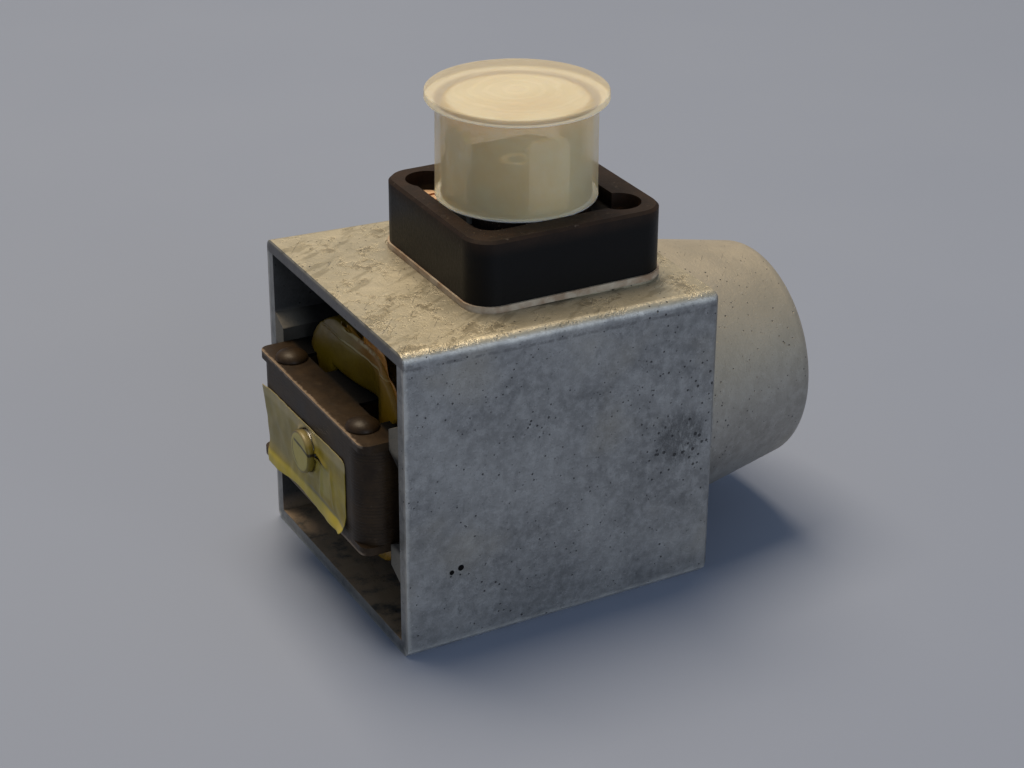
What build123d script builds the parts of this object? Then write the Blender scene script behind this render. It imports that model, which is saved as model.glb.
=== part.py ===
from build123d import *
import os

# A push-type solenoid for a small directional valve.
# The armature slides along X. The open face of the housing is bolted to the valve at x = 0,
# and the housing's tapered boss points along +X. The plug contacts point along +Z.
# Every piece is drawn with the axis of the armature on the X axis and is moved at the end,
# so that the origin lies under the middle of the solenoid, on the surface that it stands on.

# Housing: a cast box, open at the valve end, with a tapered boss behind it
box_length = 49.2
box_width = 45.0
box_height = 46.0
wall = 2.0
end_wall = 2.5
side_taper = 0.9
top_taper = 1.2
edge_radius = 1.5
foot_edge = 0.8
back_edge = 0.7
boss_inset = 2.2
boss_draft = 4.1
boss_base_radius = min(box_width, box_height) / 2 - boss_inset
boss_end_radius = boss_base_radius - boss_draft
boss_length = 20.8
boss_rounding = 2.5
boss_wall = 2.2

# Rails inside the side walls, which hold the stator, and lugs behind the armature
rail_bottom = 7.3
rail_top = 10.4
rail_slope = 1.6
shoulder = 0.8
lug_reach = 4.8
lug_half_height = 5.0
lug_depth = 2.2

# Fixing holes in the four corners of the end wall
fixing_side_edge = 5.5
fixing_foot_edge = 6.0
fixing_radius = 2.25

# Stator: a stack of E-shaped sheets between two cheek plates, held by the rails
rail_depth = 2.9
core_width = box_width - 2 * (wall + rail_depth)
stack_height = 16.8
plate_thickness = 1.2
yoke_front = -4.0
yoke_back = 1.2
leg_share = 5 / 32
side_leg_width = leg_share * core_width
centre_leg_width = 2 * side_leg_width
centre_leg_end = 9.8
armature_room = 18.3
pole_face = box_length - armature_room
sheet_corner_radius = 3.5
plate_corner_radius = 1.5

# Rivets through the stacks
rivet_radius = 1.5
rivet_head_radius = 2.4
rivet_head_height = 1.4
yoke_rivet_inset = 2.8
yoke_rivet_edge = 5.6
yoke_rivet_spread = core_width / 2 - yoke_rivet_edge
leg_rivet_inset = 6.5

# Shading rings in the pole faces
ring_slot_width = 1.1
ring_slot_depth = 1.9
ring_slot_place = 2.2
ring_thickness = 1.4
ring_bar = 0.9

# Armature: a T-shaped stack that is pulled towards the yoke
stroke = 3.5
pole_gap = 0.1
bar_thickness = 7.0
bar_side_gap = 0.4
stem_end_gap = 0.2
bar_corner_radius = 1.2

# Push pin and its guide bush
bush_cover = 1.0
bush_wall = 1.5
bush_radius = centre_leg_width / 2 - bush_cover
pin_radius = bush_radius - bush_wall
pin_standout = 1.5
spigot_step = 0.5
spigot_radius = pin_radius - spigot_step
spigot_length = 6.5
pin_edge = 0.4

# Protective film over the front of the yoke
film_thickness = 0.15
film_end_gap = 4.6
film_width = core_width - 2 * film_end_gap
film_height = 12.0
film_shift = 0.8
film_drop = 1.9
film_corner = 1.5
film_hole_gap = 0.4
disc_thickness = 0.1
disc_inset = 0.15

# Coil: bobbin, copper winding and tape
coil_front = 4.0
coil_end_gap = 2.0
coil_end = pole_face - coil_end_gap
coil_room = 3.3
coil_height = box_height - 2 * (top_taper + wall + coil_room)
coil_head_overhang = 2.7
coil_head_width = core_width - 2 * side_leg_width + 2 * coil_head_overhang
coil_head_radius = 10.5
coil_edge = 0.5
tape_thickness = 0.8
tape_face = 0.35
flange_thickness = 1.2
tube_wall = 1.0

# Electrical plug on top of the box
base_side = 30.0
base_setback = 19.7
base_centre = box_length - base_setback
plug_shift = 0.9
plug_centre = base_centre - plug_shift
base_height = 9.4
base_corner_radius = 4.0
base_top_edge = 0.4
seat_drop = 0.5
seat_height = box_height / 2 - seat_drop
gasket_thickness = 0.9
gasket_overhang = 0.3
pocket_wall = 3.6
pocket_side = base_side - 2 * pocket_wall
pocket_depth = 2.2
pocket_corner_radius = 3.0
base_floor = 1.6
hollow_edge = 1.5
hollow_radius = pocket_side / 2 - hollow_edge
base_screw_edge = 5.1
base_screw_offset = base_side / 2 - base_screw_edge
screw_recess_radius = 3.1
screw_recess_depth = 4.6
screw_radius = 1.45
screw_head_radius = 2.75
screw_head_height = 2.1
screw_head_edge = 0.7
screw_slot_width = 0.7
screw_slot_length = 3.2
screw_slot_depth = 1.0
screw_tip_depth = 1.4
screw_boss_radius = 3.2

# Contacts: flat blades against the sides of the contact block
block_room = 2.85
block_side = pocket_side - 2 * block_room
block_corner_reach = 2.0
block_radius = block_side / 2 + block_corner_reach
block_height = 6.9
stub_inset = 0.95
block_stub_radius = block_side / 2 - stub_inset
cable_hole_edge = 0.6
cable_hole_radius = block_stub_radius - cable_hole_edge
block_edge = 0.5
blade_width = 6.3
blade_thickness = 0.8
blade_standout = 5.9
blade_chamfer = 1.0
tail_width = 3.0
tail_length = 4.2
insert_radius = 2.4
insert_length = 6.5
thread_core_radius = 1.25
wire_radius = 0.75
wire_bend = 1.2
wire_rise = 3.2
wire_offsets = (4.6, 1.6)
wire_starts = (plug_centre - wire_offsets[0], plug_centre - wire_offsets[1])

# Dust cap over the contacts: its rim stands just inside the pocket, and the block's corners guide it
cap_play = 0.1
cap_radius = pocket_side / 2 - cap_play
cap_wall = 0.7
cap_height = 15.3
cap_flange_reach = 1.5
cap_flange_radius = cap_radius + cap_flange_reach
cap_flange_thickness = 1.25
cap_edge = 0.3
cap_seat_drop = 0.2
dish_radius = 9.6
dish_depth = 0.25

# Manual override: a pin through the end of the boss
override_radius = 3.0
override_recess = 0.8
override_gap = 0.2
hub_radius = 6.4
hub_length = 6.0
clip_radius = 4.6
clip_thickness = 0.7
clip_groove_radius = 2.3
clip_mouth = 3.2
o_ring_section = 0.6
o_ring_place = 2.6
stop_pad_side = 3.4
stop_pad_half_height = 4.4

# Clearances
slide_gap = 0.05
seat_gap = 0.05
fit_gap = 0.02
leg_gap = 0.3
stem_gap = 0.3
plate_gap = 0.4

# Places that follow from the sizes above
half_stack = stack_height / 2
half_core = core_width / 2
leg_inside = half_core - side_leg_width
half_centre_leg = centre_leg_width / 2
cavity_end = box_length - end_wall
boss_end = box_length + boss_length
rail_face = half_core + seat_gap
in_wall = box_width / 2 - wall / 2 - side_taper
shoulder_face = half_core - shoulder
bar_front = pole_face + pole_gap + stroke
bar_back = bar_front + bar_thickness
half_bar = shoulder_face - bar_side_gap
stem_front = centre_leg_end + stem_end_gap + stroke
pin_tip = yoke_front - pin_standout
lug_front = cavity_end - lug_depth
base_bottom = seat_height + gasket_thickness
base_top = base_bottom + base_height
wire_height = base_bottom + wire_rise
pocket_floor = base_top - pocket_depth
block_top = pocket_floor + block_height
blade_top = block_top + blade_standout
cap_bottom = base_top - cap_seat_drop
cap_top = cap_bottom + cap_height
bore_half_width = half_centre_leg + stem_gap
bore_half_height = half_stack + stem_gap
blade_inside = block_side / 2 + seat_gap
override_tip = bar_back + override_gap
override_end = boss_end - override_recess
hub_front = boss_end - boss_wall - hub_length
middle = (boss_end + pin_tip) / 2
screw_places = (
    (base_centre - base_screw_offset, base_screw_offset),
    (base_centre + base_screw_offset, -base_screw_offset),
)
plane_across = Plane.YZ


def block_between(x0, x1, y0, y1, z0, z1):
    """A box between two opposite corners."""
    centre = Pos((x0 + x1) / 2, (y0 + y1) / 2, (z0 + z1) / 2)
    return centre * Box(x1 - x0, y1 - y0, z1 - z0)


def rod_x(radius, x0, x1, y=0.0, z=0.0):
    """A round rod along X."""
    low = (Align.CENTER, Align.CENTER, Align.MIN)
    return Pos(x0, y, z) * Rot(0, 90, 0) * Cylinder(radius, x1 - x0, align=low)


def rod_z(radius, x, y, z0, z1):
    """A round rod along Z."""
    low = (Align.CENTER, Align.CENTER, Align.MIN)
    return Pos(x, y, z0) * Cylinder(radius, z1 - z0, align=low)


def cone_x(radius0, radius1, x0, x1):
    """A tapered round rod along X."""
    low = (Align.CENTER, Align.CENTER, Align.MIN)
    return Pos(x0, 0, 0) * Rot(0, 90, 0) * Cone(radius0, radius1, x1 - x0, align=low)


def drafted_box(x0, x1, inset):
    """A length of the drafted box, with its walls moved in by an inset."""
    sides = [box_width / 2 - side_taper * x / box_length - inset for x in (x0, x1)]
    tops = [box_height / 2 - top_taper * x / box_length - inset for x in (x0, x1)]
    foot = inset - box_height / 2
    from_above = Polygon((x0, -sides[0]), (x1, -sides[1]), (x1, sides[1]), (x0, sides[0]), align=None)
    from_side = Polygon((x0, foot), (x1, foot), (x1, tops[1]), (x0, tops[0]), align=None)
    long_way = extrude(from_above, box_height, both=True)
    return long_way & extrude(Plane.XZ * from_side, box_width, both=True)


def boss_radius_at(x):
    """The outer radius of the tapered boss at a place on the axis."""
    share = (x - box_length) / boss_length
    return boss_base_radius + (boss_end_radius - boss_base_radius) * share


def side_rail():
    """The upper rail on the far side wall: it holds the stack's edge, and its step stops the stack."""
    low, high = rail_bottom - rail_slope, rail_top + rail_slope
    step = pole_face + seat_gap
    rail = []
    for x0, x1, face in ((0, step, rail_face), (step, cavity_end, shoulder_face)):
        outline = Polygon((face, rail_bottom), (in_wall, low), (in_wall, high), (face, rail_top), align=None)
        rail.append(extrude(plane_across.offset(x0) * outline, x1 - x0))
    return rail[0] + rail[1]


def stop_lug():
    """The far lug behind the armature's bar, which carries a rubber pad."""
    y0 = shoulder_face - lug_reach
    return block_between(lug_front, cavity_end + end_wall / 2, y0, in_wall, -lug_half_height, lug_half_height)


def group(solids):
    """Separate solids that are kept as one piece."""
    joined = solids[0]
    for solid in solids[1:]:
        joined += solid
    return joined


def both_sides(piece):
    """A piece on the far side and its mirror image on the near side."""
    return [piece, mirror(piece, Plane.XZ)]


def make_housing():
    """The cast housing with its boss, rails, plug seat and fixing holes."""
    body = drafted_box(0, box_length, 0)
    long_edges = body.edges().filter_by(lambda edge: edge.bounding_box().size.X > box_length / 2)
    body = chamfer(long_edges.group_by(Axis.Z)[0], foot_edge)
    long_edges = body.edges().filter_by(lambda edge: edge.bounding_box().size.X > box_length / 2)
    body = fillet(long_edges.group_by(Axis.Z)[-1], edge_radius)
    body = chamfer(body.faces().sort_by(Axis.X)[-1].edges(), back_edge)
    overlap = end_wall / 2
    boss = cone_x(boss_radius_at(box_length - overlap), boss_end_radius, box_length - overlap, boss_end)
    rim = boss.edges().filter_by(GeomType.CIRCLE).sort_by(Axis.X)[-1]
    body += fillet(rim, boss_rounding)
    body -= drafted_box(0, cavity_end, wall)
    chamber_end = boss_end - boss_wall
    chamber = cone_x(
        boss_radius_at(cavity_end) - boss_wall,
        boss_radius_at(chamber_end) - boss_wall,
        cavity_end,
        chamber_end,
    )
    floor_edge = chamber.edges().filter_by(GeomType.CIRCLE).sort_by(Axis.X)[-1]
    body -= chamfer(floor_edge, boss_rounding / 2)
    upper_rail = side_rail()
    for inside in both_sides(upper_rail) + both_sides(mirror(upper_rail, Plane.XY)) + both_sides(stop_lug()):
        body += inside
    body += rod_x(hub_radius, hub_front, chamber_end + boss_wall / 2)
    body -= rod_x(override_radius + slide_gap, hub_front - 1, boss_end + 1)
    seat = RectangleRounded(base_side, base_side, base_corner_radius)
    wall_top = box_height / 2 - top_taper - wall
    body += Pos(base_centre, 0, wall_top) * extrude(seat, seat_height - wall_top)
    clear = RectangleRounded(base_side + 1, base_side + 1, base_corner_radius)
    body -= Pos(base_centre, 0, seat_height) * extrude(clear, wall)
    body -= rod_z(cable_hole_radius, plug_centre, 0, 0.5 * seat_height, seat_height + 1)
    tip = wall_top - screw_tip_depth
    for x, y in screw_places:
        body += rod_z(screw_boss_radius, x, y, tip, wall_top + wall / 2)
    for x, y in screw_places:
        body -= rod_z(screw_radius + fit_gap, x, y, tip - 1, seat_height + 1)
    half_across = box_width / 2 - fixing_side_edge
    half_up = box_height / 2 - fixing_foot_edge
    for y in (-half_across, half_across):
        for z in (-half_up, half_up):
            body -= rod_x(fixing_radius, cavity_end - 1, box_length + 1, y, z)
    return body


def stator_outline(corner_radius):
    """The E shape of a stator sheet, with a slot in each pole face for the shading ring."""
    yoke = Pos((yoke_front + yoke_back) / 2, 0) * Rectangle(yoke_back - yoke_front, core_width)
    corners = yoke.vertices().group_by(Axis.X)[0]
    shape = fillet(corners, corner_radius)
    leg_length = pole_face - yoke_back
    for side in (-1, 1):
        leg_middle = side * (half_core - side_leg_width / 2)
        shape += Pos(yoke_back + leg_length / 2, leg_middle) * Rectangle(leg_length, side_leg_width)
        slot_middle = side * (leg_inside + ring_slot_place + ring_slot_width / 2)
        slot = Rectangle(2 * ring_slot_depth, ring_slot_width)
        shape -= Pos(pole_face, slot_middle) * slot
    centre_length = centre_leg_end - yoke_back
    shape += Pos(yoke_back + centre_length / 2, 0) * Rectangle(centre_length, centre_leg_width)
    return shape


def armature_outline():
    """The T shape of an armature sheet."""
    bar = Pos((bar_front + bar_back) / 2, 0) * Rectangle(bar_thickness, 2 * half_bar)
    bar = fillet(bar.vertices().group_by(Axis.X)[-1], bar_corner_radius)
    length = bar_front - stem_front
    return bar + Pos(stem_front + length / 2, 0) * Rectangle(length, centre_leg_width)


def layer(outline, z0, z1):
    """An outline in XY made into a layer from z0 to z1."""
    return Pos(0, 0, z0) * extrude(outline, z1 - z0)


def stator_rivet_places():
    """Two rivets in the yoke and one near the end of each side leg."""
    yoke_x = yoke_front + yoke_rivet_inset
    leg_x = pole_face - leg_rivet_inset
    leg_y = half_core - side_leg_width / 2
    return [(yoke_x, -yoke_rivet_spread), (yoke_x, yoke_rivet_spread)], [(leg_x, -leg_y), (leg_x, leg_y)]


def drill(piece, places, radius):
    """Round holes through a flat piece, along Z."""
    for x, y in places:
        piece -= rod_z(radius, x, y, -stack_height, stack_height)
    return piece


def make_stator_sheets():
    """The stack of E sheets, bored for the guide bush."""
    inner = half_stack - plate_thickness
    stack = layer(stator_outline(sheet_corner_radius), -inner, inner)
    stack -= rod_x(bush_radius + fit_gap, yoke_front - 1, centre_leg_end + 1)
    headed, flush = stator_rivet_places()
    return drill(stack, headed + flush, rivet_radius + fit_gap)


def make_stator_plate(side):
    """A cheek plate on one side of the stator stack."""
    ends = sorted((side * half_stack, side * (half_stack - plate_thickness)))
    plate = layer(stator_outline(plate_corner_radius), ends[0], ends[1])
    headed, flush = stator_rivet_places()
    return drill(plate, headed + flush, rivet_radius + fit_gap)


def domed_rivet(x, y):
    """A rivet through the stack, with a domed head at both ends."""
    shank = rod_z(rivet_radius, x, y, -half_stack, half_stack)
    for side in (-1, 1):
        head = Pos(x, y, side * (half_stack + rivet_head_height / 2)) * Cylinder(rivet_head_radius, rivet_head_height)
        outer = head.edges().filter_by(GeomType.CIRCLE).sort_by(Axis.Z)[-1 if side > 0 else 0]
        shank += chamfer(outer, rivet_head_height / 2, rivet_head_radius / 2)
    return shank


def make_stator_rivets():
    """Headed rivets in the yoke, and flush ones in the side legs."""
    headed, flush = stator_rivet_places()
    rivets = [domed_rivet(x, y) for x, y in headed]
    rivets += [rod_z(rivet_radius, x, y, -half_stack, half_stack) for x, y in flush]
    return group(rivets)


def make_shading_rings():
    """A copper ring in each pole face: one bar in the slot and one inside the leg."""
    x0 = pole_face - ring_slot_depth + seat_gap
    slot_near = leg_inside + ring_slot_place
    y_out = slot_near + ring_slot_width - seat_gap
    y_in = leg_inside - seat_gap - ring_bar
    z_out = half_stack + seat_gap + ring_bar
    z_in = half_stack + seat_gap
    outer = Pos((y_in + y_out) / 2, 0) * Rectangle(y_out - y_in, 2 * z_out)
    y_hole = (leg_inside - seat_gap, slot_near + seat_gap)
    hole = Pos(sum(y_hole) / 2, 0) * Rectangle(y_hole[1] - y_hole[0], 2 * z_in)
    ring = extrude(plane_across.offset(x0) * (outer - hole), ring_thickness)
    return group(both_sides(ring))


def make_guide_bush():
    """The brass bush that guides the push pin through the yoke."""
    bush = rod_x(bush_radius, yoke_front + seat_gap, centre_leg_end)
    return bush - rod_x(pin_radius + slide_gap, yoke_front - 1, centre_leg_end + 1)


def make_armature_sheets():
    """The stack of T sheets, bored for the end of the push pin."""
    inner = half_stack - plate_thickness
    stack = layer(armature_outline(), -inner, inner)
    stack -= rod_x(spigot_radius + fit_gap, stem_front - 1, stem_front + spigot_length)
    return drill(stack, armature_rivet_places(), rivet_radius + fit_gap)


def make_armature_plate(side):
    """A cheek plate on one side of the armature stack."""
    ends = sorted((side * half_stack, side * (half_stack - plate_thickness)))
    return drill(layer(armature_outline(), ends[0], ends[1]), armature_rivet_places(), rivet_radius + fit_gap)


def armature_rivet_places():
    """Two rivets in the bar and one in the stem."""
    bar_x = (bar_front + bar_back) / 2
    stem_x = (stem_front + spigot_length + bar_front) / 2
    return [(bar_x, -half_bar / 1.6), (bar_x, half_bar / 1.6), (stem_x, 0)]


def make_armature_rivets():
    """Flush rivets through the armature."""
    return group([rod_z(rivet_radius, x, y, -half_stack, half_stack) for x, y in armature_rivet_places()])


def make_push_pin():
    """The pin that pushes the valve spool, with a spigot fixed in the armature."""
    shoulder_x = stem_front - pin_standout
    pin = rod_x(pin_radius, pin_tip + disc_thickness, shoulder_x)
    pin = chamfer(pin.edges().filter_by(GeomType.CIRCLE), pin_edge)
    return pin + rod_x(spigot_radius, shoulder_x - pin_edge, stem_front + spigot_length - seat_gap)


def make_film_disc():
    """The spot of film that stays on the tip of the push pin."""
    return rod_x(pin_radius - pin_edge - disc_inset, pin_tip, pin_tip + disc_thickness)


def make_film():
    """The strip of film on the front of the yoke, open round the push pin."""
    outline = RectangleRounded(film_width, film_height, film_corner)
    strip = Pos(film_shift, -film_drop) * outline
    strip -= Circle(pin_radius + film_hole_gap)
    return extrude(plane_across.offset(yoke_front - film_thickness) * strip, film_thickness)


def coil_outline(inset):
    """The coil seen along the axis: full heads above and below, narrow between the side legs."""
    shape = RectangleRounded(coil_head_width - 2 * inset, coil_height - 2 * inset, coil_head_radius - inset)
    narrow = leg_inside - leg_gap - inset
    waist = half_stack + plate_gap + inset
    for side in (-1, 1):
        cut = Rectangle(coil_head_width, 2 * waist)
        shape -= Pos(side * (narrow + coil_head_width / 2), 0) * cut
    return shape


def coil_window(gap):
    """The opening through the coil, with a gap round the stem's slot."""
    return Rectangle(2 * (bore_half_width + gap), 2 * (bore_half_height + gap))


def along_coil(sketch, x0, x1):
    """A sketch across the axis, made into a length from x0 to x1."""
    return extrude(plane_across.offset(x0) * sketch, x1 - x0)


def make_bobbin():
    """The moulded bobbin: a square tube with a flange at each end."""
    front = coil_front + tape_face
    end = coil_end - tape_face
    edge = tape_thickness + fit_gap
    tube = along_coil(coil_window(tube_wall), front, end)
    tube += along_coil(coil_outline(edge), front, front + flange_thickness)
    tube += along_coil(coil_outline(edge), end - flange_thickness, end)
    return tube - along_coil(coil_window(0), coil_front, coil_end)


def make_winding():
    """The copper winding between the bobbin's flanges."""
    front = coil_front + tape_face + flange_thickness + fit_gap
    end = coil_end - tape_face - flange_thickness - fit_gap
    ring = coil_outline(tape_thickness + fit_gap) - coil_window(tube_wall + fit_gap)
    return along_coil(ring, front, end)


def make_coil_tape():
    """The insulating tape wound over the coil and folded over its ends."""
    body = along_coil(coil_outline(0), coil_front, coil_end)
    ends = body.edges().filter_by(Plane.YZ).group_by(Axis.X)
    head_foot = half_stack + plate_gap + wall
    rounded = [edge for edge in ends[0] + ends[-1] if abs(edge.center().Z) > head_foot]
    body = chamfer(rounded, coil_edge)
    body -= along_coil(coil_outline(tape_thickness), coil_front + tape_face, coil_end - tape_face)
    return body - along_coil(coil_window(tube_wall), coil_front - 1, coil_end + 1)


def lead_wire(start_x, end_x):
    """An insulated lead from the top of the coil to the tail of a blade."""
    foot = coil_height / 2 + seat_gap
    turn_x = start_x + wire_bend * (1 if end_x > start_x else -1)
    turn_z = wire_height - wire_bend
    route = Polyline((start_x, 0, foot), (start_x, 0, turn_z), (turn_x, 0, wire_height), (end_x, 0, wire_height))
    section = Plane(origin=(start_x, 0, foot)) * Circle(wire_radius)
    return sweep(section, path=route, transition=Transition.RIGHT)


def make_lead_wires():
    """The two leads, one to each power blade."""
    tail_face = blade_inside - seat_gap
    left = lead_wire(wire_starts[0], plug_centre - tail_face)
    right = lead_wire(wire_starts[1], plug_centre + tail_face)
    return group([left, right])


def make_gasket():
    """The flat gasket under the plug base."""
    side = base_side + 2 * gasket_overhang
    sheet = Pos(base_centre, 0) * RectangleRounded(side, side, base_corner_radius + gasket_overhang)
    sheet -= Pos(plug_centre, 0) * Circle(hollow_radius)
    for x, y in screw_places:
        sheet -= Pos(x, y) * Circle(screw_radius + slide_gap)
    return layer(sheet, seat_height, base_bottom)


def make_plug_base():
    """The moulded base of the plug, with its pocket, screw recesses and wiring hollow."""
    outline = Pos(base_centre, 0) * RectangleRounded(base_side, base_side, base_corner_radius)
    base = layer(outline, base_bottom, base_top)
    base = chamfer(base.faces().sort_by(Axis.Z)[-1].edges(), base_top_edge)
    pocket = Pos(plug_centre, 0) * RectangleRounded(pocket_side, pocket_side, pocket_corner_radius)
    base -= layer(pocket, pocket_floor, base_top + 1)
    base -= rod_z(hollow_radius, plug_centre, 0, base_bottom - 1, pocket_floor - base_floor)
    base -= rod_z(block_stub_radius + slide_gap, plug_centre, 0, base_bottom, base_top)
    for angle in (0, 90, 180, 270):
        slot = Pos(blade_inside + blade_thickness / 2, 0, pocket_floor) * Box(
            blade_thickness + 2 * seat_gap, tail_width + 2 * seat_gap, 3 * base_floor
        )
        if angle != 90:
            base -= Pos(plug_centre, 0, 0) * Rot(0, 0, angle) * slot
    for x, y in screw_places:
        base -= rod_z(screw_recess_radius, x, y, base_top - screw_recess_depth, base_top + 1)
        base -= rod_z(screw_radius + slide_gap, x, y, base_bottom - 1, base_top)
    return base


def base_screw(x, y):
    """A pan-head screw with a cross recess, through the base into the housing."""
    seat = base_top - screw_recess_depth
    head = rod_z(screw_head_radius, x, y, seat, seat + screw_head_height)
    head = chamfer(head.edges().filter_by(GeomType.CIRCLE).sort_by(Axis.Z)[-1], screw_head_edge)
    for size in ((screw_slot_length, screw_slot_width), (screw_slot_width, screw_slot_length)):
        head -= Pos(x, y, seat + screw_head_height) * Box(size[0], size[1], 2 * screw_slot_depth)
    tip = box_height / 2 - top_taper - wall - screw_tip_depth
    return head + rod_z(screw_radius, x, y, tip, seat)


def make_base_screws():
    """The two screws that hold the plug base."""
    return group([base_screw(x, y) for x, y in screw_places])


def make_contact_block():
    """The block between the blades: a square with rounded corners, on a round stub."""
    outline = Rectangle(block_side, block_side) & Circle(block_radius)
    block = Pos(plug_centre, 0, 0) * layer(outline, pocket_floor, block_top)
    block = chamfer(block.faces().sort_by(Axis.Z)[-1].edges(), block_edge)
    block += rod_z(block_stub_radius, plug_centre, 0, pocket_floor - base_floor, pocket_floor)
    return block - rod_z(insert_radius + fit_gap, plug_centre, 0, block_top - insert_length, block_top + 1)


def make_insert():
    """The threaded insert that takes the plug's centre screw."""
    insert = rod_z(insert_radius, plug_centre, 0, block_top - insert_length, block_top)
    return insert - rod_z(thread_core_radius, plug_centre, 0, block_top - insert_length - 1, block_top + 1)


def make_blade(angle, tail_end):
    """A flat blade against one side of the block, with a narrow tail below."""
    middle_x = blade_inside + blade_thickness / 2
    foot = pocket_floor + seat_gap
    blade = block_between(blade_inside, blade_inside + blade_thickness, -blade_width / 2, blade_width / 2, foot, blade_top)
    corners = [e for e in blade.edges().filter_by(Axis.X) if e.center().Z > foot + blade_chamfer]
    blade = chamfer(corners, blade_chamfer)
    tail_height = foot - tail_end
    blade += Pos(middle_x, 0, tail_end + tail_height / 2) * Box(blade_thickness, tail_width, tail_height)
    return Pos(plug_centre, 0, 0) * Rot(0, 0, angle) * blade


def make_dust_cap():
    """The push-on cap: a thin cup with a flange and a dished top."""
    cap = rod_z(cap_radius, plug_centre, 0, cap_bottom, cap_top)
    flange = rod_z(cap_flange_radius, plug_centre, 0, cap_top - cap_flange_thickness, cap_top)
    cap += chamfer(flange.edges().filter_by(GeomType.CIRCLE), cap_edge)
    inner_top = cap_top - cap_flange_thickness
    cap -= rod_z(cap_radius - cap_wall, plug_centre, 0, cap_bottom - 1, inner_top)
    low = (Align.CENTER, Align.CENTER, Align.MIN)
    dish = Cone(dish_radius - dish_depth, dish_radius + dish_depth, 2 * dish_depth, align=low)
    return cap - Pos(plug_centre, 0, cap_top - dish_depth) * dish


def make_override_pin():
    """The manual override pin, with grooves for its clip and its seal."""
    pin = rod_x(override_radius, override_tip, override_end)
    pin = chamfer(pin.edges().filter_by(GeomType.CIRCLE), pin_edge)
    groove_x = hub_front - seat_gap - clip_thickness
    pin -= groove(groove_x - fit_gap, groove_x + clip_thickness + fit_gap, clip_groove_radius)
    seal_x = boss_end - boss_wall - o_ring_place
    return pin - groove(seal_x - o_ring_section, seal_x + o_ring_section, override_radius - 2 * o_ring_section)


def groove(x0, x1, radius):
    """A ring-shaped cut round the override pin."""
    return rod_x(override_radius + 1, x0, x1) - rod_x(radius, x0, x1)


def make_override_clip():
    """The retaining clip inside the boss, open on one side."""
    x0 = hub_front - seat_gap - clip_thickness
    clip = rod_x(clip_radius, x0, x0 + clip_thickness) - rod_x(clip_groove_radius + fit_gap, x0 - 1, x0 + 2)
    return clip - block_between(x0 - 1, x0 + 2, -clip_mouth / 2, clip_mouth / 2, -clip_radius - 1, 0)


def make_o_ring():
    """The seal in the override pin's groove."""
    seal_x = boss_end - boss_wall - o_ring_place
    minor = o_ring_section - fit_gap
    section = Pos(override_radius - o_ring_section, 0, 0) * (Plane.XZ * RegularPolygon(minor, 8))
    return Pos(seal_x, 0, 0) * Rot(0, 90, 0) * revolve(section, Axis.Z)


def make_stop_pads():
    """Rubber pads on the lugs, where the armature comes to rest."""
    y0 = shoulder_face - lug_reach + seat_gap
    y1 = y0 + stop_pad_side
    pad = block_between(bar_back + override_gap, lug_front, y0, y1, -stop_pad_half_height, stop_pad_half_height)
    return group(both_sides(pad))


tail_foot = pocket_floor - base_floor - tail_length
pieces = {
    "housing": make_housing(),
    "stator_laminations": make_stator_sheets(),
    "stator_top_plate": make_stator_plate(1),
    "stator_bottom_plate": make_stator_plate(-1),
    "stator_rivets": make_stator_rivets(),
    "shading_rings": make_shading_rings(),
    "guide_bush": make_guide_bush(),
    "armature_laminations": make_armature_sheets(),
    "armature_top_plate": make_armature_plate(1),
    "armature_bottom_plate": make_armature_plate(-1),
    "armature_rivets": make_armature_rivets(),
    "push_pin": make_push_pin(),
    "film_disc": make_film_disc(),
    "protective_film": make_film(),
    "coil_bobbin": make_bobbin(),
    "coil_winding": make_winding(),
    "coil_tape": make_coil_tape(),
    "lead_wires": make_lead_wires(),
    "base_gasket": make_gasket(),
    "plug_base": make_plug_base(),
    "base_screws": make_base_screws(),
    "contact_block": make_contact_block(),
    "threaded_insert": make_insert(),
    "contact_blade_1": make_blade(180, tail_foot),
    "contact_blade_2": make_blade(0, tail_foot),
    "earth_blade": make_blade(270, seat_height + seat_gap),
    "dust_cap": make_dust_cap(),
    "override_pin": make_override_pin(),
    "override_clip": make_override_clip(),
    "override_o_ring": make_o_ring(),
    "armature_stop_pads": make_stop_pads(),
}

os.makedirs("parts", exist_ok=True)
to_base = Pos(-middle, 0, box_height / 2)
for name, piece in pieces.items():
    export_step(to_base * piece, f"parts/{name}.step")
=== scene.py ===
# %% [markdown]
# # A push-type solenoid for a small directional valve
# The solenoid is a grey cast box with a tapered boss behind it. A brown core and a coil wound with
# yellow tape sit in its open end, and a black plug base with a translucent dust cap stands on its top.
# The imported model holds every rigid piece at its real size. This notebook gives those pieces their
# finishes, and models a few again in finer form: the rivets, the cap, the film and the taped coil.

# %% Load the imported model
import math
import bmesh
import bpy
from mathutils import Matrix, Vector, noise


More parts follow.
